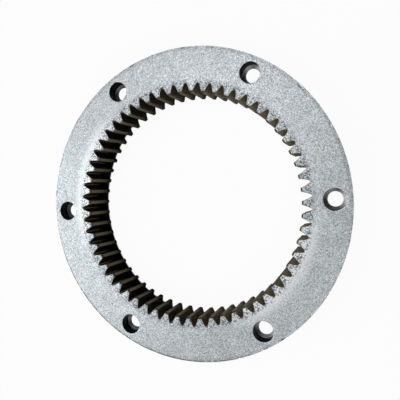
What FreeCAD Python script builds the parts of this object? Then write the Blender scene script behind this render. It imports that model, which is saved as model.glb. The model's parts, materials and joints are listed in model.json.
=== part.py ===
# Internal ring gear with a flange and a spigot, one solid steel ring.
# The flange face with the bolt heads' recesses looks up, and the ring lies on the end of its spigot.
# Z is the gear's axis, and X runs through the first bolt hole.
# The origin is on the axis, in the plane that the ring lies on.
# Lengths are millimetres and angles are degrees.

import FreeCAD, Part
import math
import os
import Sketcher

NODE = "ring_gear"

# Each driving size: its name, its value and what it is
SIZES = (
    ("gear_module", 2.5, "pitch diameter divided by the tooth count"),
    ("tooth_count", 59, "internal teeth"),
    ("pressure_angle", 20, "pressure angle of the flanks at the pitch circle"),
    ("profile_shift", 0.15, "outward shift of the tooth profile, in modules"),
    ("addendum_factor", 1.05, "tooth height inside the shifted pitch line, in modules"),
    ("dedendum_factor", 1.35, "tooth height outside the shifted pitch line, in modules"),
    ("indexed_hole", 4, "bolt hole, counted round from the first, that a tooth space faces"),
    ("face_width", 25, "length of the teeth, which is the height of the ring"),
    ("rim_wall", 5, "steel between the tooth roots and the outside of the spigot"),
    ("bolt_offset", 7.5, "outside of the spigot to the bolt circle"),
    ("edge_distance", 10, "bolt circle to the outside of the flange"),
    ("flange_thickness", 9.5, "thickness of the flange"),
    ("bolt_count", 6, "bolt holes"),
    ("bolt_hole", 9, "diameter of the through hole for an M8 bolt"),
    ("bolt_land", 0.5, "length of the through hole below the recess"),
    ("head_recess", 13, "diameter of the drilled recess above it"),
    ("drill_point", 118, "full angle of the recess's conical floor"),
    ("hole_edge", 0.1, "chamfer round the mouth of the recess"),
    ("rim_bevel_width", 2, "shallow bevel round the front face, along the face"),
    ("rim_bevel_depth", 0.15, "the same bevel, down the rim"),
    ("flange_edge", 0.7, "chamfer on the outer edge of the flange's back"),
    ("spigot_edge", 1, "lead chamfer on the outside of the spigot's end"),
    ("spigot_corner", 1.5, "fillet between the spigot and the flange"),
    ("tooth_front", 1, "chamfer on the tooth tips at the front face"),
    ("tooth_back", 0.2, "the same at the end of the spigot"),
    ("tip_round", 0.4, "radius along the corners of the tooth tips"),
)

# Radii of the section, chained outwards from the teeth
PITCH_LINE = "Sizes.tooth_count / 2 + Sizes.profile_shift"
TIP_RADIUS = f"Sizes.gear_module * ({PITCH_LINE} - Sizes.addendum_factor) * 1 mm"
ROOT_RADIUS = f"Sizes.gear_module * ({PITCH_LINE} + Sizes.dedendum_factor) * 1 mm"
SPIGOT_RADIUS = f"{ROOT_RADIUS} + Sizes.rim_wall * 1 mm"
BOLT_RADIUS = f"{SPIGOT_RADIUS} + Sizes.bolt_offset * 1 mm"
OUTER_RADIUS = f"{BOLT_RADIUS} + Sizes.edge_distance * 1 mm"
RECESS_RADIUS = "Sizes.head_recess / 2 * 1 mm"

# Heights of the section, and the depth of a recess's straight wall
FACE_WIDTH = "Sizes.face_width * 1 mm"
FLANGE_UNDERSIDE = "(Sizes.face_width - Sizes.flange_thickness) * 1 mm"
CONE_DEPTH = "(Sizes.head_recess - Sizes.bolt_hole) / 2 / tan(Sizes.drill_point / 2 * 1 deg)"
RECESS_DEPTH = f"(Sizes.flange_thickness - Sizes.bolt_land - {CONE_DEPTH}) * 1 mm"

# How far the tip rounds of a tooth space reach into the open bore, so that they cross its wall
ROUND_OVERSHOOT = 0.02

# A sketch's own origin and horizontal axis, and the points of its lines and circles
ORIGIN = (-1, 1)
H_AXIS = -1
START, END, CENTRE = range(1, 4)

FULL_TURN = 360
MATCH = 1e-4
FINE = 1e-10


def make_sheet(doc):
    """The sheet of driving sizes: a plain number in column B under the alias that column A shows."""
    sheet = doc.addObject("Spreadsheet::Sheet", "Sizes")
    for row, (alias, value, meaning) in enumerate(SIZES, start=1):
        sheet.set(f"A{row}", alias)
        sheet.set(f"B{row}", str(value))
        sheet.set(f"C{row}", meaning)
        sheet.setAlias(f"B{row}", alias)
    doc.recompute()
    return sheet


def size(body, expression):
    """The length that an expression on the sheet gives, in millimetres."""
    return body.evalExpression(expression).Value


def origin_feature(body, role):
    """The body's own origin plane or axis that has this role."""
    return next(item for item in body.Origin.OriginFeatures if item.Role == role)


def new_sketch(body, name, role):
    """An empty sketch on one of the body's origin planes."""
    sketch = body.newObject("Sketcher::SketchObject", name)
    sketch.AttachmentSupport = [(origin_feature(body, role), "")]
    sketch.MapMode = "FlatFace"
    return sketch


def constrain(sketch, kind, *picks):
    """A constraint of a sketch between the geometry that is picked."""
    return sketch.addConstraint(Sketcher.Constraint(kind, *picks))


def drive(sketch, name, expression, kind, *picks):
    """A named dimension of a sketch that follows the sheet."""
    index = constrain(sketch, kind, *picks, sketch.evalExpression(expression).Value)
    sketch.renameConstraint(index, name)
    sketch.setExpression(f"Constraints.{name}", expression)


def ring_edges(shape, radius, height):
    """Names of the circular edges that have this radius and lie at this height."""
    names = []
    for index, edge in enumerate(shape.Edges, start=1):
        curve = edge.Curve
        if not isinstance(curve, Part.Circle):
            continue
        if abs(curve.Radius - radius) < MATCH and abs(curve.Center.z - height) < MATCH:
            names.append(f"Edge{index}")
    if not names:
        raise RuntimeError(f"no edge of radius {radius:.3f} at height {height:.3f}")
    return names


def dress(doc, body, kind, name, base, edges, alias):
    """A fillet or chamfer on edges of the base, as large as one cell of the sheet says."""
    feature = body.newObject(f"PartDesign::{kind}", name)
    feature.Base = (base, edges)
    feature.setExpression("Radius" if kind == "Fillet" else "Size", f"Sizes.{alias} * 1 mm")
    doc.recompute()
    return feature


def pattern(doc, body, name, feature, count_alias):
    """Copies of a feature, evenly spaced about the gear's axis."""
    copies = body.newObject("PartDesign::PolarPattern", name)
    copies.Originals = [feature]
    copies.Axis = (origin_feature(body, "Z_Axis"), [""])
    copies.Angle = FULL_TURN
    copies.setExpression("Occurrences", f"Sizes.{count_alias}")
    body.Tip = copies
    doc.recompute()
    return copies


def require_cut(before, after):
    """A cut that points away from the steel removes nothing, so the volumes are compared."""
    if after.Shape.Volume >= before.Shape.Volume:
        raise RuntimeError(f"{after.Name} removes nothing")


def make_blank(doc, body):
    """The turned blank: bore, spigot and flange, revolved about the gear's axis."""
    tip = size(body, TIP_RADIUS)
    spigot = size(body, SPIGOT_RADIUS)
    outer = size(body, OUTER_RADIUS)
    top = size(body, FACE_WIDTH)
    step = size(body, FLANGE_UNDERSIDE)
    corners = [(tip, 0), (spigot, 0), (spigot, step), (outer, step), (outer, top), (tip, top)]
    sides = len(corners)
    section = new_sketch(body, "Section", "XZ_Plane")
    for side, corner in enumerate(corners):
        after = corners[(side + 1) % sides]
        section.addGeometry(Part.LineSegment(FreeCAD.Vector(*corner), FreeCAD.Vector(*after)), False)
    for side in range(sides):
        constrain(section, "Coincident", side, END, (side + 1) % sides, START)
        constrain(section, "Horizontal" if side % 2 == 0 else "Vertical", side)
    constrain(section, "PointOnObject", 0, START, H_AXIS)
    drive(section, "TipRadius", TIP_RADIUS, "DistanceX", *ORIGIN, 0, START)
    drive(section, "SpigotRadius", SPIGOT_RADIUS, "DistanceX", *ORIGIN, 1, START)
    drive(section, "OuterRadius", OUTER_RADIUS, "DistanceX", *ORIGIN, 3, START)
    drive(section, "FaceWidth", FACE_WIDTH, "DistanceY", *ORIGIN, 5, START)
    drive(section, "FlangeUnderside", FLANGE_UNDERSIDE, "DistanceY", *ORIGIN, 3, START)
    blank = body.newObject("PartDesign::Revolution", "Blank")
    blank.Profile = section
    blank.ReferenceAxis = (section, ["V_Axis"])
    blank.Angle = FULL_TURN
    doc.recompute()
    return blank


def dress_blank(doc, body, blank):
    """The blank's turned edges: the corner behind the flange, its rims, the spigot's lead and the bore."""
    tip = size(body, TIP_RADIUS)
    spigot = size(body, SPIGOT_RADIUS)
    outer = size(body, OUTER_RADIUS)
    top = size(body, FACE_WIDTH)
    step = size(body, FLANGE_UNDERSIDE)
    corner = ring_edges(blank.Shape, spigot, step)
    solid = dress(doc, body, "Fillet", "SpigotCorner", blank, corner, "spigot_corner")
    back_rim = ring_edges(solid.Shape, outer, step)
    solid = dress(doc, body, "Chamfer", "FlangeBack", solid, back_rim, "flange_edge")
    front_rim = ring_edges(solid.Shape, outer, top)
    solid = dress(doc, body, "Chamfer", "RimBevel", solid, front_rim, "rim_bevel_depth")
    solid.ChamferType = "Two distances"
    solid.setExpression("Size2", "Sizes.rim_bevel_width * 1 mm")
    doc.recompute()
    lead = ring_edges(solid.Shape, spigot, 0)
    solid = dress(doc, body, "Chamfer", "SpigotLead", solid, lead, "spigot_edge")
    front_mouth = ring_edges(solid.Shape, tip, top)
    solid = dress(doc, body, "Chamfer", "ToothFront", solid, front_mouth, "tooth_front")
    back_mouth = ring_edges(solid.Shape, tip, 0)
    return dress(doc, body, "Chamfer", "ToothBack", solid, back_mouth, "tooth_back")


def make_bolt_holes(doc, body, base):
    """Bolt holes through the flange, each below a drilled recess with a conical floor."""
    sketch = new_sketch(body, "BoltHoleCentre", "XY_Plane")
    sketch.setExpression("AttachmentOffset.Base.z", FACE_WIDTH)
    centre = FreeCAD.Vector(size(body, BOLT_RADIUS), 0, 0)
    upwards = FreeCAD.Vector(0, 0, 1)
    sketch.addGeometry(Part.Circle(centre, upwards, size(body, RECESS_RADIUS)), False)
    constrain(sketch, "PointOnObject", 0, CENTRE, H_AXIS)
    drive(sketch, "BoltRadius", BOLT_RADIUS, "DistanceX", *ORIGIN, 0, CENTRE)
    drive(sketch, "RecessRadius", RECESS_RADIUS, "Radius", 0)
    doc.recompute()
    hole = body.newObject("PartDesign::Hole", "BoltHole")
    hole.Profile = sketch
    hole.DepthType = "ThroughAll"
    hole.HoleCutType = "Counterdrill"
    hole.HoleCutCustomValues = True
    hole.setExpression("Diameter", "Sizes.bolt_hole * 1 mm")
    hole.setExpression("HoleCutDiameter", "Sizes.head_recess * 1 mm")
    hole.setExpression("HoleCutDepth", RECESS_DEPTH)
    hole.setExpression("HoleCutCountersinkAngle", "Sizes.drill_point * 1 deg")
    doc.recompute()
    require_cut(base, hole)
    holes = pattern(doc, body, "BoltHoles", hole, "bolt_count")
    mouths = ring_edges(holes.Shape, size(body, RECESS_RADIUS), size(body, FACE_WIDTH))
    return dress(doc, body, "Chamfer", "HoleEdges", holes, mouths, "hole_edge")


def involute(angle):
    """The involute function of an angle in radians."""
    return math.tan(angle) - angle


def unit(vector):
    """The vector of length one with this direction."""
    return vector / vector.Length


def mirrored(point):
    """The point's mirror image in the X axis."""
    return FreeCAD.Vector(point.x, -point.y, 0)


class ToothSpace:
    """Outline of one tooth space, symmetric about the X axis: rounded tips, involute flanks, round root.

    A flank is the arc through three points of its involute, which it leaves by less than 0.006 mm.
    """

    def __init__(self, sheet, tip_radius, root_radius):
        pressure = math.radians(float(sheet.pressure_angle))
        self.tip_radius = tip_radius
        self.root_radius = root_radius
        self.tip_round = float(sheet.tip_round)
        self.base_radius = sheet.gear_module * sheet.tooth_count / 2 * math.cos(pressure)
        shift_width = 2 * sheet.profile_shift * math.tan(pressure)
        half_space = (math.pi / 2 + shift_width) / sheet.tooth_count
        self.base_half_angle = half_space + involute(pressure)

    def slope(self, radius):
        """Pressure angle of a flank at a radius."""
        return math.acos(self.base_radius / radius)

    def half_angle(self, radius):
        """Half of the space's width at a radius, as an angle at the gear's axis."""
        return self.base_half_angle - involute(self.slope(radius))

    def flank_point(self, radius):
        """The upper flank's point at a radius."""
        angle = self.half_angle(radius)
        return FreeCAD.Vector(radius * math.cos(angle), radius * math.sin(angle), 0)

    def normal(self, radius):
        """The direction from the upper flank into the tooth at a radius."""
        lean = self.slope(radius) - self.half_angle(radius)
        return FreeCAD.Vector(math.sin(lean), math.cos(lean), 0)

    def root_reach(self, radius):
        """Where a round that leaves both flanks tangentially at this radius reaches on the X axis."""
        point = self.flank_point(radius)
        normal = self.normal(radius)
        return point.x + point.y / normal.y * (1 - normal.x)

    def tip_centre(self, radius):
        """Centre of the tip's round that touches the upper flank at this radius."""
        return self.flank_point(radius) + self.normal(radius) * self.tip_round

    def tip_reach(self, radius):
        """How near to the gear's axis that round comes."""
        return self.tip_centre(radius).Length - self.tip_round

    def radius_where(self, reach, wanted):
        """The radius between tip and root at which a reach that grows with it has the wanted value."""
        low = self.base_radius
        high = self.root_radius
        while high - low > FINE:
            middle = (low + high) / 2
            if reach(middle) < wanted:
                low = middle
            else:
                high = middle
        return low

    def draw(self, sketch):
        """The closed outline: tip, flank, root, flank, tip, and three lines in the open bore, at the base circle."""
        first = self.radius_where(self.tip_reach, self.tip_radius - ROUND_OVERSHOOT)
        last = self.radius_where(self.root_reach, self.root_radius)
        upper = [self.flank_point(radius) for radius in (first, (first + last) / 2, last)]
        lower = [mirrored(point) for point in reversed(upper)]
        centre = self.tip_centre(first)
        inwards = unit(centre) * -1
        between = unit(inwards - self.normal(first))
        tip = centre + inwards * self.tip_round
        shoulder = centre + between * self.tip_round
        mouth = FreeCAD.Vector(self.base_radius, tip.y, 0)
        outline = (
            Part.Arc(tip, shoulder, upper[0]),
            Part.Arc(*upper),
            Part.Arc(upper[-1], FreeCAD.Vector(self.root_radius, 0, 0), lower[0]),
            Part.Arc(*lower),
            Part.Arc(lower[-1], mirrored(shoulder), mirrored(tip)),
            Part.LineSegment(mirrored(tip), mirrored(mouth)),
            Part.LineSegment(mirrored(mouth), mouth),
            Part.LineSegment(mouth, tip),
        )
        for index, curve in enumerate(outline):
            sketch.addGeometry(curve, False)
            constrain(sketch, "Block", index)


def make_teeth(doc, body, sheet, base):
    """Tooth spaces cut along the whole bore, one of them facing the indexed bolt hole."""
    sketch = new_sketch(body, "ToothSpace", "XY_Plane")
    hole_angle = f"Sizes.indexed_hole * {FULL_TURN} deg / Sizes.bolt_count"
    sketch.setExpression("AttachmentOffset.Rotation.Angle", hole_angle)
    ToothSpace(sheet, size(body, TIP_RADIUS), size(body, ROOT_RADIUS)).draw(sketch)
    doc.recompute()
    cut = body.newObject("PartDesign::Pocket", "ToothCut")
    cut.Profile = sketch
    cut.Type = "ThroughAll"
    cut.Reversed = True
    doc.recompute()
    require_cut(base, cut)
    return pattern(doc, body, "Teeth", cut, "tooth_count")


def check(doc, body):
    """Every object has to be computed, and the ring has to be one valid solid."""
    for item in doc.Objects:
        if "Invalid" in item.State or "Error" in item.State:
            raise RuntimeError(f"{item.Name} failed: {item.State}")
    shape = body.Shape
    if shape.isNull() or not shape.isValid() or len(shape.Solids) != 1:
        raise RuntimeError(f"{body.Label} isn't one valid solid")


def main():
    doc = FreeCAD.newDocument("RingGear")
    sheet = make_sheet(doc)
    body = doc.addObject("PartDesign::Body", "RingGear")
    body.Label = NODE
    blank = make_blank(doc, body)
    dressed = dress_blank(doc, body, blank)
    drilled = make_bolt_holes(doc, body, dressed)
    body.Tip = make_teeth(doc, body, sheet, drilled)
    doc.recompute()
    check(doc, body)
    os.makedirs("parts", exist_ok=True)
    body.Shape.exportStep(os.path.join("parts", f"{body.Label}.step"))
    box = body.Shape.BoundBox
    print(f"{body.Label}: {box.XLength:.2f} x {box.YLength:.2f} x {box.ZLength:.2f} mm")


main()
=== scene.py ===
import json
import math

import bmesh
import bpy
import numpy as np
from bpy.props import FloatProperty, FloatVectorProperty, IntProperty, PointerProperty
from bpy.types import Operator, Panel, PropertyGroup
from mathutils import Euler, Matrix, Vector, noise
from mathutils.geometry import delaunay_2d_cdt


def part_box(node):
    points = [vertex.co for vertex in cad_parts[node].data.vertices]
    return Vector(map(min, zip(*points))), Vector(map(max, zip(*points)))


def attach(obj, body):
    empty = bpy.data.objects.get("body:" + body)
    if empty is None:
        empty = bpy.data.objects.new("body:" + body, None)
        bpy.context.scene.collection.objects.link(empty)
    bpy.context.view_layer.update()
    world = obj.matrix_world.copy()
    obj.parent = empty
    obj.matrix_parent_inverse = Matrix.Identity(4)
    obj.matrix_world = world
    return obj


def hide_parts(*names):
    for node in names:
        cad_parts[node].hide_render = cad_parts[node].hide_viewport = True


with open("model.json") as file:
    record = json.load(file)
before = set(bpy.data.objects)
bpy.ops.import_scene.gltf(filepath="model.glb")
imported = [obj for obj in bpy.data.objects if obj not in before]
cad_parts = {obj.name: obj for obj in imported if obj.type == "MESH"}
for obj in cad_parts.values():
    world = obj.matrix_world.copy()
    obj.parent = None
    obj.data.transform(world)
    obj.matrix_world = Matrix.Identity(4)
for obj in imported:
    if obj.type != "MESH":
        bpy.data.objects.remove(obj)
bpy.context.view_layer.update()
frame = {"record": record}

bl_info = {
    "name": "Internal ring gear",
    "version": (1, 0, 0),
    "blender": (4, 5, 0),
    "location": "3D View > Sidebar > Ring gear",
    "description": "Dresses a flanged internal ring gear and sets the stage that it lies on",
    "category": "Object",
}

NODE = "ring_gear"
BODY = "root"
MM = 0.001
MOUNTS = {mount["name"]: mount for mount in frame["record"]["mounts"]}
BOLTS = MOUNTS["bolt_circle"]["dims"]
SPIGOT = MOUNTS["spigot"]["dims"]
FLANGE_BACK = MOUNTS["flange_back"]["pos_m"][2]
LOW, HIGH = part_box(NODE)

# How finely the mesh follows the ring: points round the rim, the spigot and a bolt hole,
# and points along each stretch of half a tooth space
RIM_POINTS = 1080
SPIGOT_POINTS = 360
HOLE_POINTS = 56
TIP_STEPS = 4
FLANK_STEPS = 5
ROOT_STEPS = 4
BREAK_STEPS = 4
BORE_LEVELS = 6
BEVEL_ROWS = 6
FILLET_STEPS = 5
HALVINGS = 40
MERGE_DISTANCE = 0.002 * MM
CREASE_ANGLE = math.radians(24)

# Spacing of the points that fill the flat faces, how far apart their rows lie as a share of it,
# and how far they stay from the voids and from the teeth
FRONT_SPACING = 1.2 * MM
BACK_SPACING = 3 * MM
ROW_SHARE = 0.87
VOID_ROOM = 0.3 * MM
TOOTH_ROOM = 0.8 * MM

# The bore's even levels stay this far from both ends, and the rim has two levels close below its edge
END_ROOM = 2 * MM
EDGE_DROPS = (0.12 * MM, 0.6 * MM)

# The nicks and chips reach this far down the rim from the front face
WORN_DEPTH = 3 * MM

# How wide the marks of the finishes are drawn
GRIT = 0.45 * MM
PITS = 0.6 * MM
SPECKS = 0.9 * MM
CLOUDS = 11 * MM
STREAKS = 0.5 * MM
TURNING = 0.4 * MM

# Painted shade darkens the teeth over this length towards their far end
FAR_END_SHADE = 10 * MM

# The soft boxes stand this far from the ring and are this wide, in metres
LAMP_DISTANCE = 1.3
LAMP_SIZE = 0.55

# The floor reaches this far from the axis, and the contact shade's edge is this soft to each side
FLOOR_REACH = 1.5
SHADE_EDGE = 0.5 * MM

# The backdrop goes from white to dark between these rises above the horizon
HORIZON_FADE = (0.2, 0.35)


def linear(code):
    """The linear RGBA colour of an sRGB hex code."""
    channels = [int(code[place:place + 2], 16) / 255 for place in (0, 2, 4)]
    return tuple(c / 12.92 if c <= 0.04045 else ((c + 0.055) / 1.055) ** 2.4 for c in channels) + (1.0,)


def length_property(name, description, millimetres):
    """A property for a length, with its default given in millimetres."""
    default = millimetres * MM
    return FloatProperty(name=name, description=description, default=default, unit="LENGTH", precision=5)


def angle_property(name, description, degrees):
    """A property for an angle, with its default given in degrees."""
    return FloatProperty(name=name, description=description, default=math.radians(degrees), subtype="ANGLE")


def power_property(name, description, watts):
    """A property for a lamp's power."""
    return FloatProperty(name=name, description=description, default=watts, unit="POWER")


def plain_property(name, description, value):
    """A property for a number without a unit."""
    return FloatProperty(name=name, description=description, default=value)


def share_property(name, description, value):
    """A property for a share, from 0 to 1."""
    return FloatProperty(name=name, description=description, default=value, min=0, max=1, subtype="FACTOR")


def colour_property(name, description, code):
    """A property for a colour, with its default given as an sRGB hex code."""
    return FloatVectorProperty(name=name, description=description, default=linear(code)[:3], subtype="COLOR")


def place_property(name, description, place):
    """A property for a place in the scene, in metres."""
    return FloatVectorProperty(name=name, description=description, default=place, subtype="TRANSLATION")


class RingGearSizes(PropertyGroup):
    """The sizes of the ring and its teeth"""

    gear_module: length_property("Module", "Pitch diameter divided by the tooth count", 2.5)
    tooth_count: IntProperty(name="Teeth", description="Number of internal teeth", default=59, min=12)
    pressure_angle: angle_property("Pressure angle", "Pressure angle at the pitch circle", 20)
    profile_shift: plain_property("Profile shift", "Outward shift of the profile, in modules", 0.15)
    addendum: plain_property("Addendum", "Tooth height inside the shifted pitch line, in modules", 1.05)
    dedendum: plain_property("Dedendum", "Tooth height outside that line, in modules", 1.35)
    indexed_hole: IntProperty(name="Indexed hole", description="Bolt hole faced by a tooth space", default=4)
    tip_round: length_property("Tip round", "Radius along the corners of the tooth tips", 0.4)
    tooth_front: length_property("Tooth front", "Chamfer on the tooth tips at the front face", 1.0)
    tooth_back: length_property("Tooth back", "Chamfer on the tooth tips at the end of the spigot", 0.2)
    tooth_break: length_property("Tooth break", "Rounding where a tooth space meets the front face", 0.3)
    height: length_property("Height", "Length of the teeth", (HIGH.z - LOW.z) / MM)
    rim_radius: length_property("Rim radius", "Outside radius of the flange", HIGH.x / MM)
    underside: length_property("Underside", "Height of the flange's back", FLANGE_BACK / MM)
    spigot_radius: length_property("Spigot radius", "Outside radius of the spigot", SPIGOT["r_mm"])
    bolt_radius: length_property("Bolt radius", "Radius of the bolt circle", BOLTS["pcd_mm"] / 2)
    bolt_count: IntProperty(name="Bolts", description="Number of bolt holes", default=BOLTS["count"])
    hole_radius: length_property("Hole radius", "Radius of a through hole", BOLTS["hole_r_mm"])
    bolt_land: length_property("Bolt land", "Length of the through hole below the recess", 0.5)
    recess_radius: length_property("Recess radius", "Radius of a drilled recess", 6.5)
    drill_point: angle_property("Drill point", "Full angle of the recess's floor", 118)
    hole_edge: length_property("Hole edge", "Chamfer round the mouth of a recess", 0.1)
    bevel_width: length_property("Bevel width", "Shallow bevel round the front, along the face", 2.0)
    bevel_depth: length_property("Bevel depth", "The same bevel, down the rim", 0.15)
    back_edge: length_property("Back edge", "Chamfer on the outer edge of the flange's back", 0.7)
    spigot_edge: length_property("Spigot edge", "Lead chamfer on the spigot's end", 1.0)
    spigot_corner: length_property("Spigot corner", "Fillet between the spigot and the flange", 1.5)


class RingGearWear(PropertyGroup):
    """How far the surfaces depart from true, and where the painted highlight and the dark edge line lie"""

    shoulder_drop: length_property("Shoulder drop", "How far the tooth ends lie below the front face", 0.1)
    shoulder_radius: length_property("Shoulder radius", "Where the face starts to fall to the teeth", 83.5)
    shoulder_width: length_property("Shoulder width", "Width of that slope", 5.0)
    waviness: length_property("Waviness", "Unevenness of the front face", 0.03)
    wave_size: length_property("Wave size", "Width of one wave of that unevenness", 14)
    chip_depth: length_property("Chip depth", "Depth of the largest chips in the rim", 0.45)
    chip_size: length_property("Chip size", "Width of a chip", 1.6)
    # Directions of the painted highlight beside the teeth, at the left and at the right
    highlight_left: angle_property("Rubbed left", "Direction of the place rubbed bright at the left", 165)
    highlight_right: angle_property("Rubbed right", "Direction of the one at the right", 322)
    # Direction of the stretch of rim where a broken dark line is drawn along the front edge
    dark_rim_way: angle_property("Rubbed rim", "Direction of the stretch of rim that is rubbed through", 240)


class RingGearFinish(PropertyGroup):
    """The colours of the finishes, and of the painted highlight and shade"""

    zinc_light: colour_property("Zinc, light", "Bright grains of the blasted plating", "EDF2F5")
    zinc_dark: colour_property("Zinc, dark", "Pits of the blasted plating", "959BA0")
    # Painted highlight: on two sides, the face beside the teeth takes this lighter colour
    zinc_highlight: colour_property("Zinc, rubbed", "Plating rubbed bright beside the teeth", "F4F7F9")
    bare_steel: colour_property("Bare steel", "Chips and specks where the plating is gone", "4A4C50")
    tooth_brown: colour_property("Tooth brown", "Oiled, cut steel of the teeth", "A69E8C")
    tooth_dark: colour_property("Tooth dark", "Darker streaks along the teeth", "8B8372")
    # Painted shade: the teeth at the left take this darker colour
    tooth_shade_left: colour_property("Tooth oil", "Teeth at the left, where the oil lies thick", "605A4D")
    # Painted shade on the front chamfers of the teeth
    tooth_chamfer_shade: colour_property("Tooth edge", "Chamfers at the front of the teeth", "403C35")
    bore_steel: colour_property("Drilled steel", "Floors of the bolt recesses", "F6F8FA")
    # Painted shade: the recess walls, the shaded parts of the recess floors and the far end of the teeth
    # take this dark colour
    bore_shade: colour_property("Drilled wall", "Walls of the bolt recesses", "202326")


class RingGearStage(PropertyGroup):
    """The camera, the lamps and the floor"""

    lens: FloatProperty(name="Lens", description="Focal length", default=38.82, unit="CAMERA")
    floor_colour: colour_property("Floor", "Colour of the floor", "E4E4E4")
    floor_lift: share_property("Floor lift", "Share of the floor that stays white in shade", 0.95)
    foot_shade: colour_property("Foot shade", "Colour of the floor in the ring's contact shade", "2A2926")
    shade_radius: length_property("Shade radius", "Where the contact shade ends within the bore", 80.0)
    shade_shift: length_property("Shade shift", "How far the shade's middle lies off the axis", 8.0)
    shade_way: angle_property("Shade way", "Direction from the axis in which that middle lies", 10)
    key_power: power_property("Key", "Soft box at the left", 1.55)
    low_power: power_property("Low", "Soft box below the key", 2.8)
    side_power: power_property("Side", "Soft box beside the key, nearer to the front", 2.2)
    top_power: power_property("Top", "High soft box towards the back", 4.25)
    fill_power: power_property("Fill", "Soft box at the front right", 4.3)
    camera_place: place_property("Camera place", "Where the camera stands", (0.1003, 0.0079, 0.28))
    camera_aim: place_property("Camera aim", "What the camera looks at", (0.00915, 0.00325, 0.025))
    camera_lean: angle_property("Camera lean", "Turn of the picture's top to the right", 3.07)


def involute(angle):
    """The involute function of an angle in radians."""
    return math.tan(angle) - angle


def directions(start, end, steps):
    """Directions that turn evenly from one to another, both ends included."""
    low = math.atan2(start[1], start[0])
    high = math.atan2(end[1], end[0])
    high = low + (high - low + math.pi) % math.tau - math.pi
    angles = np.linspace(low, high, steps + 1)
    return np.stack((np.cos(angles), np.sin(angles)), axis=1)


class ToothSpace:
    """One tooth space, symmetric about the X axis, as points with the direction into the steel at each."""

    def __init__(self, sizes):
        pressure = sizes.pressure_angle
        pitch_line = sizes.tooth_count / 2 + sizes.profile_shift
        half_space = (math.pi / 2 + 2 * sizes.profile_shift * math.tan(pressure)) / sizes.tooth_count
        self.count = sizes.tooth_count
        self.tip_radius = sizes.gear_module * (pitch_line - sizes.addendum)
        self.root_radius = sizes.gear_module * (pitch_line + sizes.dedendum)
        self.base_radius = sizes.gear_module * sizes.tooth_count / 2 * math.cos(pressure)
        self.base_half_angle = half_space + involute(pressure)
        self.tip_round = sizes.tip_round
        self.turn = math.tau * sizes.indexed_hole / sizes.bolt_count
        self.flank_end = self.radius_where(self.root_reach, self.root_radius)

    def slope(self, radius):
        """Pressure angle of a flank at a radius."""
        return math.acos(min(1.0, self.base_radius / radius))

    def flank(self, radius):
        """The upper flank's point at a radius, and the direction from it into the tooth."""
        half_angle = self.base_half_angle - involute(self.slope(radius))
        lean = self.slope(radius) - half_angle
        point = np.array((radius * math.cos(half_angle), radius * math.sin(half_angle)))
        return point, np.array((math.sin(lean), math.cos(lean)))

    def root_reach(self, radius):
        """Where a round that leaves both flanks tangentially at this radius reaches on the X axis."""
        point, normal = self.flank(radius)
        return point[0] + point[1] / normal[1] * (1 - normal[0])

    def tip_reach(self, radius):
        """How near to the gear's axis the tip's round comes that touches the flank at this radius."""
        point, normal = self.flank(radius)
        return np.linalg.norm(point + normal * self.tip_round) - self.tip_round

    def radius_where(self, reach, wanted):
        """The radius at which a reach that grows with it has the wanted value."""
        low = self.base_radius
        high = self.root_radius
        for _ in range(HALVINGS):
            middle = (low + high) / 2
            if reach(middle) < wanted:
                low = middle
            else:
                high = middle
        return low

    def upper_half(self, tip_radius):
        """Points and directions from the middle of the upper tooth to the deepest point of the root."""
        start = self.radius_where(self.tip_reach, tip_radius)
        corner, into_tooth = self.flank(start)
        centre = corner + into_tooth * self.tip_round
        outwards = centre / np.linalg.norm(centre)
        round_ways = directions(outwards, into_tooth, TIP_STEPS)
        round_points = centre - round_ways * self.tip_round
        middle = math.pi / self.count
        land = np.array(((math.cos(middle), math.sin(middle)),))
        radii = np.linspace(start, self.flank_end, FLANK_STEPS + 1)[1:-1]
        flank = [self.flank(radius) for radius in radii]
        end, normal = self.flank(self.flank_end)
        root_centre = np.array((end[0] - end[1] / normal[1] * normal[0], 0.0))
        root_ways = directions(normal, (1.0, 0.0), ROOT_STEPS)
        root_points = root_centre + root_ways * (self.root_radius - root_centre[0])
        flank_points, flank_ways = zip(*flank)
        points = np.concatenate((land * tip_radius, round_points, flank_points, root_points))
        ways = np.concatenate((land, round_ways, flank_ways, root_ways))
        return points, ways

    def outline(self, tip_radius, inset):
        """The whole bore's outline, moved into the steel by the inset."""
        points, ways = self.upper_half(tip_radius)
        upper = points + ways * inset
        lower = upper[-2:0:-1] * (1, -1)
        one_space = np.concatenate((upper, lower))[::-1]
        turns = self.turn + np.arange(self.count) * math.tau / self.count
        return np.concatenate([turned(one_space, angle) for angle in turns])


def turned(points, angle):
    """Flat points turned about the origin."""
    cos, sin = math.cos(angle), math.sin(angle)
    return points @ np.array(((cos, sin), (-sin, cos)))


def circle(radius, count, centre=(0.0, 0.0)):
    """Evenly spaced points round a circle."""
    angles = np.arange(count) * math.tau / count
    return np.stack((np.cos(angles), np.sin(angles)), axis=1) * radius + centre


def raised(points, height):
    """Flat points at a height."""
    return np.column_stack((points, np.full(len(points), height)))


def inside(points, loop):
    """Which flat points lie within a closed loop."""
    after = np.roll(loop, -1, axis=0)
    x, y = points[:, :1], points[:, 1:]
    crosses = (loop[:, 1] > y) != (after[:, 1] > y)
    rise = np.where(after[:, 1] == loop[:, 1], 1.0, after[:, 1] - loop[:, 1])
    meets = loop[:, 0] + (y - loop[:, 1]) / rise * (after[:, 0] - loop[:, 0])
    return (crosses & (x < meets)).sum(axis=1) % 2 == 1


def lattice(inner, outer, spacing):
    """Points in staggered rings between two radii."""
    rings = []
    for row, radius in enumerate(np.arange(inner + spacing / 2, outer - spacing / 3, spacing * ROW_SHARE)):
        count = round(math.tau * radius / spacing)
        rings.append(turned(circle(radius, count), row * 0.5 * math.tau / count))
    return np.concatenate(rings)


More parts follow.
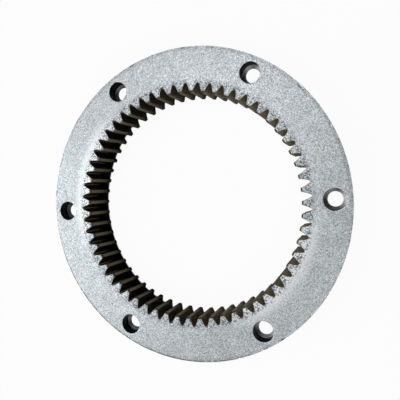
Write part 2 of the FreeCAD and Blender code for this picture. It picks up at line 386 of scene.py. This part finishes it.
class Shell:
    """The points and faces of one mesh, gathered surface by surface."""

    def __init__(self):
        self.points = []
        self.faces = []
        self.finishes = []
        self.count = 0

    def add(self, points, faces, finish):
        """Faces among some points, all in one finish."""
        self.points.append(points)
        self.faces.extend([tuple(int(corner) + self.count for corner in face) for face in faces])
        self.finishes.extend([finish] * len(faces))
        self.count += len(points)

    def strip(self, rings, finish):
        """A band of four-sided faces over closed rings with as many points each."""
        size = len(rings[0])
        faces = []
        for row in range(len(rings) - 1):
            for column in range(size):
                after = (column + 1) % size
                here = row * size
                below = here + size
                faces.append((here + column, here + after, below + after, below + column))
        self.add(np.concatenate(rings), faces, finish)

    def turned_profile(self, profile, count, finish, centre=(0.0, 0.0)):
        """A surface of revolution through radii and heights."""
        self.strip([raised(circle(radius, count, centre), height) for radius, height in profile], finish)

    def flat(self, rim, voids, filling, height, finish):
        """A flat face within a rim, round some voids, with more points to shape it by."""
        loops = [rim, *voids]
        clear = np.ones(len(filling), bool)
        for void in voids:
            middle = (void.max(axis=0) + void.min(axis=0)) / 2
            reach = np.linalg.norm(void - middle, axis=1).max() + VOID_ROOM
            clear &= np.linalg.norm(filling - middle, axis=1) > reach
        points = np.concatenate([*loops, filling[clear]])
        edges = []
        start = 0
        for loop in loops:
            edges += [(start + place, start + (place + 1) % len(loop)) for place in range(len(loop))]
            start += len(loop)
        corners = [Vector(point) for point in points]
        found, _, triangles, *_ = delaunay_2d_cdt(corners, edges, [], 0, 0.01 * MERGE_DISTANCE)
        flat = np.array([tuple(point) for point in found])
        triangles = np.array([tuple(triangle) for triangle in triangles])
        middles = flat[triangles].mean(axis=1)
        keep = np.ones(len(triangles), bool)
        for void in voids:
            near = np.linalg.norm(middles - void.mean(axis=0), axis=1)
            far = np.linalg.norm(void - void.mean(axis=0), axis=1).max()
            likely = np.flatnonzero(keep & (near < far))
            keep[likely[inside(middles[likely], void)]] = False
        self.add(raised(flat, height), triangles[keep], finish)

    def mesh(self, name, reshape):
        """One closed mesh of the surfaces, merged where they meet, after its points are reshaped."""
        points = reshape(np.concatenate(self.points))
        made = bpy.data.meshes.new(name)
        made.from_pydata(points.tolist(), [], self.faces)
        made.polygons.foreach_set("material_index", self.finishes)
        work = bmesh.new()
        work.from_mesh(made)
        bmesh.ops.remove_doubles(work, verts=work.verts, dist=MERGE_DISTANCE)
        bmesh.ops.recalc_face_normals(work, faces=work.faces)
        open_edges = sum(1 for edge in work.edges if not edge.is_manifold)
        work.to_mesh(made)
        work.free()
        if open_edges:
            raise RuntimeError(f"{name} isn't closed: {open_edges} open edges")
        made.polygons.foreach_set("use_smooth", [True] * len(made.polygons))
        made.set_sharp_from_angle(angle=CREASE_ANGLE)
        return made


ZINC, TEETH, DRILLED, TURNED = range(4)


def tooth_levels(sizes, space):
    """Heights down the bore, each with the radius of the tips and the inset of the outline there."""
    top = sizes.height
    levels = []
    for step in range(BREAK_STEPS + 1):
        angle = math.radians(90) * step / BREAK_STEPS
        inset = sizes.tooth_break * (1 - math.sin(angle))
        levels.append((top - sizes.tooth_break * (1 - math.cos(angle)), inset))
    levels += [(top - sizes.tooth_front * 0.65, 0.0), (top - sizes.tooth_front, 0.0)]
    levels += [(height, 0.0) for height in np.linspace(top - END_ROOM, END_ROOM, BORE_LEVELS)]
    levels += [(sizes.tooth_back, 0.0), (0.0, sizes.tooth_back / 2)]
    chamfered = []
    for height, inset in levels:
        cut = max(0.0, sizes.tooth_front - (top - height), sizes.tooth_back - height)
        chamfered.append((height, space.tip_radius + cut, inset))
    return chamfered


def hole_profile(sizes):
    """Radii and heights down a bolt hole: mouth, recess, drill point, through hole."""
    top = sizes.height
    land_top = sizes.underside + sizes.bolt_land
    cone_top = land_top + (sizes.recess_radius - sizes.hole_radius) / math.tan(sizes.drill_point / 2)
    edge = sizes.hole_edge
    back = edge / 2
    return [
        (sizes.recess_radius + edge, top),
        (sizes.recess_radius + edge * 0.3, top - edge * 0.3),
        (sizes.recess_radius, top - edge),
        (sizes.recess_radius, (top + cone_top) / 2),
        (sizes.recess_radius, cone_top),
        (sizes.hole_radius, land_top),
        (sizes.hole_radius, sizes.underside + back),
        (sizes.hole_radius + back, sizes.underside),
    ]


def rim_profile(sizes):
    """Radii and heights of the rim: shallow bevel, soft edge, rim, back chamfer."""
    top = sizes.height
    rim = sizes.rim_radius
    shares = np.linspace(0, 0.94, BEVEL_ROWS)
    bevel = [(rim - sizes.bevel_width * (1 - share), top - sizes.bevel_depth * share) for share in shares]
    low = sizes.underside
    back = sizes.back_edge
    edge = top - sizes.bevel_depth
    sides = [(rim, edge - drop) for drop in EDGE_DROPS] + [(rim, (edge + low) / 2), (rim, low + back)]
    return bevel + sides + [(rim - back / 2, low + back / 2), (rim - back, low)]


def spigot_profile(sizes):
    """Radii and heights of the spigot: fillet below the flange, wall, lead chamfer."""
    corner = sizes.spigot_corner
    centre = (sizes.spigot_radius + corner, sizes.underside - corner)
    fillet = []
    for step in range(FILLET_STEPS + 1):
        angle = math.radians(90 + 90 * step / FILLET_STEPS)
        fillet.append((centre[0] + corner * math.cos(angle), centre[1] + corner * math.sin(angle)))
    edge = sizes.spigot_edge
    return fillet + [(sizes.spigot_radius, edge), (sizes.spigot_radius - edge, 0.0)]


def smooth_step(value, low, high):
    """Rises smoothly from 0 at one value to 1 at another."""
    share = np.clip((value - low) / (high - low), 0, 1)
    return share * share * (3 - 2 * share)


def field(points, size, seed):
    """Smooth noise from -1 to 1 over points, with lumps of about this size."""
    shift = Vector((seed * 17.3, seed * 5.1, seed * 9.7))
    return np.array([noise.noise(Vector(point) / size + shift) for point in points])


def weathered(sizes, wear):
    """The reshaping of the ring's exact points: the soft slope to the teeth, waves, and chips in the rim."""

    def reshape(points):
        shaped = points.copy()
        radius = np.hypot(points[:, 0], points[:, 1])
        near_front = smooth_step(points[:, 2], sizes.underside + WORN_DEPTH, sizes.height)
        front = np.flatnonzero(near_front > 0)
        shoulder = 1 - smooth_step(radius, wear.shoulder_radius - wear.shoulder_width, wear.shoulder_radius)
        waves = np.zeros(len(points))
        waves[front] = 0.5 + 0.5 * field(points[front], wear.wave_size, 1)
        shaped[:, 2] -= (shoulder * wear.shoulder_drop + waves * wear.waviness) * near_front
        outermost = radius > sizes.rim_radius - sizes.bevel_width
        edge = np.flatnonzero(outermost & (points[:, 2] > sizes.height - WORN_DEPTH))
        lumps = field(points[edge], wear.chip_size, 2) + 0.5 * field(points[edge], 8 * wear.chip_size, 3)
        chips = smooth_step(lumps, 0.42, 0.8) * wear.chip_depth
        fade = smooth_step(radius[edge], sizes.rim_radius - sizes.bevel_width, sizes.rim_radius - 0.4 * MM)
        fade *= smooth_step(points[edge, 2], sizes.height - WORN_DEPTH, sizes.height - 1 * MM)
        shaped[edge, 2] -= chips * fade * 0.6
        shaped[edge, :2] *= (1 - chips * fade / radius[edge])[:, None]
        return shaped

    return reshape


def ring_mesh(sizes, wear):
    """The whole ring as one closed mesh."""
    space = ToothSpace(sizes)
    shell = Shell()
    levels = tooth_levels(sizes, space)
    outlines = [space.outline(tip, inset) for _, tip, inset in levels]
    shell.strip([raised(loop, height) for loop, (height, _, _) in zip(outlines, levels)], TEETH)
    rim = rim_profile(sizes)
    spigot = spigot_profile(sizes)
    hole = hole_profile(sizes)
    shell.turned_profile(rim, RIM_POINTS, ZINC)
    shell.turned_profile(spigot, SPIGOT_POINTS, TURNED)
    centres = circle(sizes.bolt_radius, sizes.bolt_count)
    for centre in centres:
        shell.turned_profile(hole[:3], HOLE_POINTS, ZINC, centre)
        shell.turned_profile(hole[2:], HOLE_POINTS, DRILLED, centre)
    mouths = [circle(hole[0][0], HOLE_POINTS, centre) for centre in centres]
    exits = [circle(hole[-1][0], HOLE_POINTS, centre) for centre in centres]
    front_rim = circle(rim[0][0], RIM_POINTS)
    back_rim = circle(rim[-1][0], RIM_POINTS)
    spigot_top = circle(spigot[0][0], SPIGOT_POINTS)
    spigot_foot = circle(spigot[-1][0], SPIGOT_POINTS)
    front_points = lattice(space.root_radius + TOOTH_ROOM, rim[0][0], FRONT_SPACING)
    back_points = lattice(spigot[0][0], rim[-1][0], BACK_SPACING)
    nothing = np.empty((0, 2))
    shell.flat(front_rim, [outlines[0], *mouths], front_points, sizes.height, ZINC)
    shell.flat(back_rim, [spigot_top, *exits], back_points, sizes.underside, ZINC)
    shell.flat(spigot_foot, [outlines[-1]], nothing, 0.0, TURNED)
    return shell.mesh("ring_gear_finished", weathered(sizes, wear))


def add(tree, kind, inputs=(), **settings):
    """A node of this kind with its settings. Each input is a value, or the output that it is linked to."""
    made = tree.nodes.new(kind)
    for name, value in settings.items():
        setattr(made, name, value)
    for socket, value in dict(inputs).items():
        if isinstance(value, bpy.types.NodeSocket):
            tree.links.new(value, made.inputs[socket])
        else:
            made.inputs[socket].default_value = value
    return made


def new_material(name):
    """A material with an empty tree but for its output, and that output."""
    material = bpy.data.materials.new(name)
    material.use_nodes = True
    tree = material.node_tree
    tree.nodes.clear()
    return material, tree, add(tree, "ShaderNodeOutputMaterial")


def rgba(colour):
    """A colour property as four channels."""
    return (*colour, 1.0)


def mixed(tree, share, first, second):
    """A colour between two others."""
    return add(tree, "ShaderNodeMix", {0: share, 6: first, 7: second}, data_type="RGBA").outputs[2]


def faded(tree, value, low, high, start=0.0, end=1.0):
    """Rises smoothly from a start to an end as a value goes from low to high."""
    inputs = {"Value": value, "From Min": low, "From Max": high, "To Min": start, "To Max": end}
    return add(tree, "ShaderNodeMapRange", inputs, interpolation_type="SMOOTHSTEP").outputs["Result"]


def maths(tree, operation, first, second=0.0):
    """What an operation makes of one or two values."""
    return add(tree, "ShaderNodeMath", {0: first, 1: second}, operation=operation).outputs["Value"]


def times(tree, first, second):
    """The product of two values."""
    return maths(tree, "MULTIPLY", first, second)


def vector_maths(tree, operation, first, second=(0.0, 0.0, 0.0)):
    """The node for an operation on one or two vectors."""
    return add(tree, "ShaderNodeVectorMath", {0: first, 1: second}, operation=operation)


def stretched(tree, place, factors):
    """A place with each of its coordinates times its own factor."""
    return vector_maths(tree, "MULTIPLY", place, factors).outputs["Vector"]


def grain(tree, place, size, detail=2.0, roughness=0.5):
    """Noise whose lumps are about this wide."""
    inputs = {"Vector": place, "Scale": 1 / size, "Detail": detail, "Roughness": roughness}
    return add(tree, "ShaderNodeTexNoise", inputs).outputs["Fac"]


def position(tree):
    """A point's place on the ring, its distance from the axis and its height."""
    place = add(tree, "ShaderNodeTexCoord").outputs["Object"]
    height = add(tree, "ShaderNodeSeparateXYZ", {0: place}).outputs["Z"]
    flat = stretched(tree, place, (1.0, 1.0, 0.0))
    return place, vector_maths(tree, "LENGTH", flat).outputs["Value"], height


def towards(tree, place, angle):
    """1 where a place lies in this direction from the axis, down to -1 on the other side."""
    flat = stretched(tree, place, (1.0, 1.0, 0.0))
    outwards = vector_maths(tree, "NORMALIZE", flat).outputs["Vector"]
    way = (math.cos(angle), math.sin(angle), 0.0)
    return vector_maths(tree, "DOT_PRODUCT", outwards, way).outputs["Value"]


def metal(tree, output, colour, roughness, bump, depth, more=()):
    """A bare metal surface, rough as the bump says."""
    normal = add(tree, "ShaderNodeBump", {"Height": bump, "Distance": depth}).outputs["Normal"]
    inputs = {"Base Color": colour, "Roughness": roughness, "Normal": normal, "Metallic": 1.0, **dict(more)}
    shader = add(tree, "ShaderNodeBsdfPrincipled", inputs)
    tree.links.new(shader.outputs["BSDF"], output.inputs["Surface"])


def highlight_beside_teeth(tree, place, radius, sizes, wear):
    """How strongly the painted highlight lies on the face: beside the teeth, on two sides."""
    left = towards(tree, place, wear.highlight_left)
    right = towards(tree, place, wear.highlight_right)
    two_sides = faded(tree, maths(tree, "MAXIMUM", left, right), 0.78, 0.985)
    spigot = sizes.spigot_radius
    beside_teeth = faded(tree, radius, spigot + 4 * MM, spigot - 5 * MM, 0.0, 0.75)
    return times(tree, two_sides, beside_teeth)


def edge_wear_and_dark_line(tree, place, radius, height, sizes, wear):
    """How far the front edge is worn through to the steel in patches all round, and how strongly a broken
    dark line is drawn along it over one stretch.
    """
    rim = sizes.rim_radius
    at_front = faded(tree, height, sizes.height - 1.6 * MM, sizes.height - 0.4 * MM)
    near_edge = times(tree, at_front, faded(tree, radius, rim - 1.6 * MM, rim - 0.3 * MM))
    patches = faded(tree, grain(tree, place, 5 * MM, detail=4.0, roughness=0.75), 0.53, 0.66)
    stretch = faded(tree, towards(tree, place, wear.dark_rim_way), 0.5, 0.8)
    line = times(tree, at_front, faded(tree, radius, rim - 1.1 * MM, rim - 0.5 * MM))
    broken = faded(tree, grain(tree, place, 2.5 * MM), 0.36, 0.5, 0.15, 0.75)
    lined = times(tree, times(tree, line, stretch), broken)
    return maths(tree, "MAXIMUM", times(tree, near_edge, patches), lined)


def blasted_zinc(sizes, wear, finish):
    """Zinc plating over blasted steel: an even, cool light grey that sparkles in grains.

    The grit leaves pits of about 0.2 mm, too fine for the picture, so the grains are drawn wider. A painted
    highlight lies on the face beside the teeth on two sides. The plating is worn through in patches along
    the rim, a broken dark line is drawn along one stretch of its front edge, and the tooth ends are specked.
    """
    material, tree, output = new_material("blasted_zinc_plated_steel")
    place, radius, height = position(tree)
    dark = rgba(finish.zinc_dark)
    bare = rgba(finish.bare_steel)
    cells = add(tree, "ShaderNodeTexVoronoi", {"Vector": place, "Scale": 1 / GRIT}).outputs["Color"]
    sparkle = add(tree, "ShaderNodeSeparateColor", {0: cells}).outputs[0]
    tone = mixed(tree, sparkle, dark, rgba(finish.zinc_light))
    tone = mixed(tree, faded(tree, grain(tree, place, CLOUDS), 0.35, 0.7, 0.0, 0.18), tone, dark)
    # Painted highlight on the face beside the teeth, on two sides
    tone = mixed(tree, highlight_beside_teeth(tree, place, radius, sizes, wear), tone, rgba(finish.zinc_highlight))
    # Worn patches along the front edge, and a broken dark line over one stretch of it
    tone = mixed(tree, edge_wear_and_dark_line(tree, place, radius, height, sizes, wear), tone, bare)
    specks = faded(tree, grain(tree, place, SPECKS), 0.5, 0.58, 0.0, 0.8)
    root = ToothSpace(sizes).root_radius
    tone = mixed(tree, times(tree, specks, faded(tree, radius, root + 3 * MM, root)), tone, bare)
    pits = grain(tree, place, PITS, detail=1.0)
    metal(tree, output, tone, faded(tree, pits, 0.3, 0.7, 0.62, 0.46), pits, 0.05 * MM)
    return material


def cut_teeth(sizes, finish):
    """Shaped steel under oil: nearly black where it faces the camera, grey-brown at a flat angle.

    Painted shade darkens the teeth at the left, on the front chamfers and at the far end. The cutter's marks
    are about 0.1 mm apart and are drawn wider. At the left a painted highlight lies in patches on the front
    edge.
    """
    material, tree, output = new_material("shaped_oiled_steel")
    place, radius, height = position(tree)
    streaks = grain(tree, stretched(tree, place, (1.0, 1.0, 0.04)), STREAKS, detail=3.0, roughness=0.6)
    tone = mixed(tree, faded(tree, streaks, 0.35, 0.65), rgba(finish.tooth_dark), rgba(finish.tooth_brown))
    chamfer = sizes.tooth_front
    tips = ToothSpace(sizes).tip_radius
    at_front = faded(tree, height, sizes.height - 1.1 * chamfer, sizes.height - 0.9 * chamfer)
    at_tips = faded(tree, radius, tips + 0.9 * chamfer, tips + 1.1 * chamfer, 1.0, 0.0)
    at_left = faded(tree, towards(tree, place, 0.0), 0.8, -0.9)
    # Painted shade on the front chamfers of the teeth
    tone = mixed(tree, times(tree, at_front, at_tips), tone, rgba(finish.tooth_chamfer_shade))
    # Painted shade on the teeth at the left
    tone = mixed(tree, at_left, tone, rgba(finish.tooth_shade_left))
    # Painted shade at the far end of the teeth
    tone = mixed(tree, faded(tree, height, FAR_END_SHADE, 0.0, 0.0, 0.75), tone, rgba(finish.bore_shade))
    # Painted highlight: lighter patches on the front edge of the teeth at the left
    glint_noise = grain(tree, place, SPECKS, detail=3.0, roughness=0.7)
    reach = faded(tree, height, sizes.height - 1.0 * MM, sizes.height - 0.2 * MM)
    front_glint_left = times(tree, times(tree, reach, at_left), faded(tree, glint_noise, 0.42, 0.56))
    tone = mixed(tree, front_glint_left, tone, rgba(finish.zinc_dark))
    roughness = faded(tree, streaks, 0.3, 0.7, 0.46, 0.32)
    less_shine = {"Specular Tint": (0.45, 0.45, 0.45, 1.0)}
    metal(tree, output, tone, roughness, streaks, 0.02 * MM, less_shine)
    return material


def drilled_steel(finish):
    """Drilled recesses: the drill's point leaves a ringed floor, and the straight walls stay dark.

    Painted shade darkens each floor except its right side, and darkens the floors of the recesses at the
    left more.
    """
    material, tree, output = new_material("drilled_plated_steel")
    place, _, _ = position(tree)
    marks = grain(tree, stretched(tree, place, (0.05, 0.05, 1.0)), STREAKS)
    way = add(tree, "ShaderNodeNewGeometry").outputs["True Normal"]
    facing = add(tree, "ShaderNodeSeparateXYZ", {0: way}).outputs
    rise = facing["Z"]
    # Painted shade on the recess floors: more at the left, and on every part of a floor but the side that
    # faces left
    left_recess_shade = faded(tree, towards(tree, place, 0.0), 0.3, -0.7, 0.0, 0.9)
    floor_shade = maths(tree, "MAXIMUM", left_recess_shade, faded(tree, facing["X"], -0.5, -0.1, 0.0, 0.65))
    cone = mixed(tree, floor_shade, rgba(finish.bore_steel), rgba(finish.bore_shade))
    # Painted shade: the straight walls take the dark colour
    tone = mixed(tree, faded(tree, rise, 0.2, 0.4), rgba(finish.bore_shade), cone)
    metal(tree, output, tone, faded(tree, rise, 0.2, 0.4, 0.36, 0.55), marks, 0.03 * MM)
    return material


def turned_steel(finish):
    """Turned and plated steel on the spigot, with fine rings round the axis."""
    material, tree, output = new_material("turned_plated_steel")
    place, radius, height = position(tree)
    phase = times(tree, maths(tree, "ADD", radius, height), math.tau / TURNING)
    rings = maths(tree, "SINE", phase)
    cloud = grain(tree, place, 7 * MM)
    clouded = faded(tree, cloud, 0.3, 0.7, 0.3, 0.6)
    tone = mixed(tree, clouded, rgba(finish.zinc_dark), rgba(finish.zinc_light))
    metal(tree, output, tone, faded(tree, cloud, 0.3, 0.7, 0.36, 0.42), rings, 0.006 * MM)
    return material


def floor_material(stage, sizes):
    """A pale sweep of card, which stays nearly white in shade and keeps a soft shadow.

    In the contact shade at the ring's foot it is dark to the camera too, and the metal sees it in its true
    shade under the whole flange.
    """
    material, tree, output = new_material("white_card")
    seen = add(tree, "ShaderNodeLightPath").outputs
    place, radius, _ = position(tree)
    way = (math.cos(stage.shade_way), math.sin(stage.shade_way), 0.0)
    middle = tuple(part * stage.shade_shift for part in way)
    moved = vector_maths(tree, "SUBTRACT", place, middle).outputs["Vector"]
    from_middle = vector_maths(tree, "LENGTH", moved).outputs["Value"]
    in_shade = faded(tree, from_middle, stage.shade_radius - SHADE_EDGE, stage.shade_radius + SHADE_EDGE)
    in_foot = faded(tree, radius, sizes.spigot_radius, sizes.spigot_radius + 1 * MM, 1.0, 0.0)
    foot = times(tree, in_shade, in_foot)
    tips = ToothSpace(sizes).tip_radius
    past_tips = faded(tree, radius, 0.6 * tips, tips)
    in_flange = faded(tree, radius, sizes.rim_radius, sizes.rim_radius + 4 * MM, 1.0, 0.0)
    out_of_foot = maths(tree, "SUBTRACT", 1.0, foot)
    out_of_flange = maths(tree, "SUBTRACT", 1.0, times(tree, past_tips, in_flange))
    mirrored = maths(tree, "MAXIMUM", seen["Is Glossy Ray"], seen["Is Transmission Ray"])
    by_camera = times(tree, seen["Is Camera Ray"], out_of_foot)
    by_metal = times(tree, mirrored, out_of_flange)
    lift = times(tree, maths(tree, "MAXIMUM", by_camera, by_metal), stage.floor_lift)
    tone = mixed(tree, foot, rgba(stage.floor_colour), rgba(stage.foot_shade))
    card = add(tree, "ShaderNodeBsdfDiffuse", {"Color": tone}).outputs["BSDF"]
    white = {"Color": (1.0, 1.0, 1.0, 1.0), "Strength": 1.0}
    lifted = add(tree, "ShaderNodeEmission", white).outputs["Emission"]
    both = add(tree, "ShaderNodeMixShader", {0: lift, 1: card, 2: lifted}).outputs["Shader"]
    tree.links.new(both, output.inputs["Surface"])
    return material


def pale_horizon():
    """The backdrop: white round the horizon to the camera and the metal, dark above. It lights nothing."""
    world = bpy.data.worlds.new("studio")
    world.use_nodes = True
    tree = world.node_tree
    tree.nodes.clear()
    seen = add(tree, "ShaderNodeLightPath").outputs
    way = add(tree, "ShaderNodeTexCoord").outputs["Generated"]
    rise = add(tree, "ShaderNodeSeparateXYZ", {0: way}).outputs["Z"]
    low = faded(tree, rise, *HORIZON_FADE, 1.0, 0.0)
    mirrored = maths(tree, "MAXIMUM", seen["Is Glossy Ray"], seen["Is Transmission Ray"])
    shown = maths(tree, "MAXIMUM", seen["Is Camera Ray"], mirrored)
    inputs = {"Color": (1.0, 1.0, 1.0, 1.0), "Strength": times(tree, low, shown)}
    background = add(tree, "ShaderNodeBackground", inputs).outputs["Background"]
    add(tree, "ShaderNodeOutputWorld", {"Surface": background})
    return world


def soft_lamp(name, place, aim, power):
    """A square soft box that faces a point."""
    light = bpy.data.lights.new(name, "AREA")
    light.shape = "SQUARE"
    light.size = LAMP_SIZE
    light.energy = power
    lamp = bpy.data.objects.new(name, light)
    lamp.location = place
    lamp.rotation_mode = "QUATERNION"
    lamp.rotation_quaternion = (aim - place).to_track_quat("-Z", "Y")
    bpy.context.scene.collection.objects.link(lamp)


def white_floor(stage, sizes):
    """A wide flat floor in white card, under the ring."""
    reach = FLOOR_REACH
    plane = bpy.data.meshes.new("floor")
    corners = [(-reach, -reach, 0), (reach, -reach, 0), (reach, reach, 0), (-reach, reach, 0)]
    plane.from_pydata(corners, [], [(0, 1, 2, 3)])
    plane.materials.append(floor_material(stage, sizes))
    floor = bpy.data.objects.new("floor", plane)
    bpy.context.scene.collection.objects.link(floor)


def add_camera(scene, stage):
    """The camera above the ring's right edge, looking down past its middle, its top leaning a little."""
    data = bpy.data.cameras.new("camera")
    data.lens = stage.lens
    data.clip_start = 0.01
    camera = bpy.data.objects.new("camera", data)
    place = Vector(stage.camera_place)
    away = place - Vector(stage.camera_aim)
    camera.rotation_mode = "QUATERNION"
    backwards = away.normalized()
    upwards = Vector((0.0, 1.0, 0.0))
    upwards = (upwards - upwards.dot(backwards) * backwards).normalized()
    sideways = upwards.cross(backwards)
    lean = stage.camera_lean
    up = upwards * math.cos(lean) + sideways * math.sin(lean)
    right = up.cross(backwards)
    camera.rotation_quaternion = Matrix((right, up, backwards)).transposed().to_quaternion()
    camera.location = place
    scene.collection.objects.link(camera)
    scene.camera = camera


class RINGGEAR_OT_ring(Operator):
    """Builds the ring's own mesh over its solid, with worn edges, and gives it its finishes"""

    bl_idname = "ringgear.ring"
    bl_label = "Ring"

    def execute(self, context):
        scene = context.scene
        sizes = scene.ring_gear_sizes
        wear = scene.ring_gear_wear
        finish = scene.ring_gear_finish
        mesh = ring_mesh(sizes, wear)
        zinc = blasted_zinc(sizes, wear, finish)
        finishes = (zinc, cut_teeth(sizes, finish), drilled_steel(finish), turned_steel(finish))
        for material in finishes:
            mesh.materials.append(material)
        ring = bpy.data.objects.new("ring_gear_finished", mesh)
        scene.collection.objects.link(ring)
        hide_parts(NODE)
        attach(ring, BODY)
        return {"FINISHED"}


class RINGGEAR_OT_stage(Operator):
    """Lays the floor, hangs the lamps and sets the camera above the ring, to its right"""

    bl_idname = "ringgear.stage"
    bl_label = "Stage"

    def execute(self, context):
        scene = context.scene
        stage = scene.ring_gear_stage
        white_floor(stage, scene.ring_gear_sizes)
        centre = Vector((0.0, 0.0, HIGH.z))
        for name, power, azimuth, height in (
            ("key_lamp", stage.key_power, 180, 50),
            ("low_lamp", stage.low_power, 180, 30),
            ("side_lamp", stage.side_power, 210, 50),
            ("top_lamp", stage.top_power, 120, 70),
            ("fill_lamp", stage.fill_power, 300, 50),
        ):
            turn = Euler((0.0, -math.radians(height), math.radians(azimuth))).to_matrix()
            soft_lamp(name, centre + turn @ Vector((LAMP_DISTANCE, 0.0, 0.0)), centre, power)
        scene.world = pale_horizon()
        add_camera(scene, stage)
        scene.view_settings.view_transform = "Standard"
        return {"FINISHED"}


class RINGGEAR_PT_panel(Panel):
    """The pieces and their settings in the sidebar"""

    bl_idname = "RINGGEAR_PT_panel"
    bl_label = "Ring gear"
    bl_space_type = "VIEW_3D"
    bl_region_type = "UI"
    bl_category = "Ring gear"

    def draw(self, context):
        layout = self.layout
        for operator, group in (
            ("ringgear.ring", context.scene.ring_gear_sizes),
            (None, context.scene.ring_gear_wear),
            (None, context.scene.ring_gear_finish),
            ("ringgear.stage", context.scene.ring_gear_stage),
        ):
            if operator:
                layout.operator(operator)
            column = layout.column()
            for name in group.bl_rna.properties.keys():
                if name not in ("rna_type", "name"):
                    column.prop(group, name)


GROUPS = {
    "ring_gear_sizes": RingGearSizes,
    "ring_gear_wear": RingGearWear,
    "ring_gear_finish": RingGearFinish,
    "ring_gear_stage": RingGearStage,
}
CLASSES = (*GROUPS.values(), RINGGEAR_OT_ring, RINGGEAR_OT_stage, RINGGEAR_PT_panel)


def register():
    for item in CLASSES:
        bpy.utils.register_class(item)
    for name, group in GROUPS.items():
        setattr(bpy.types.Scene, name, PointerProperty(type=group))


def unregister():
    for name in GROUPS:
        delattr(bpy.types.Scene, name)
    for item in reversed(CLASSES):
        bpy.utils.unregister_class(item)


def main():
    register()
    bpy.ops.ringgear.ring()
    bpy.ops.ringgear.stage()


if __name__ == "__main__":
    main()
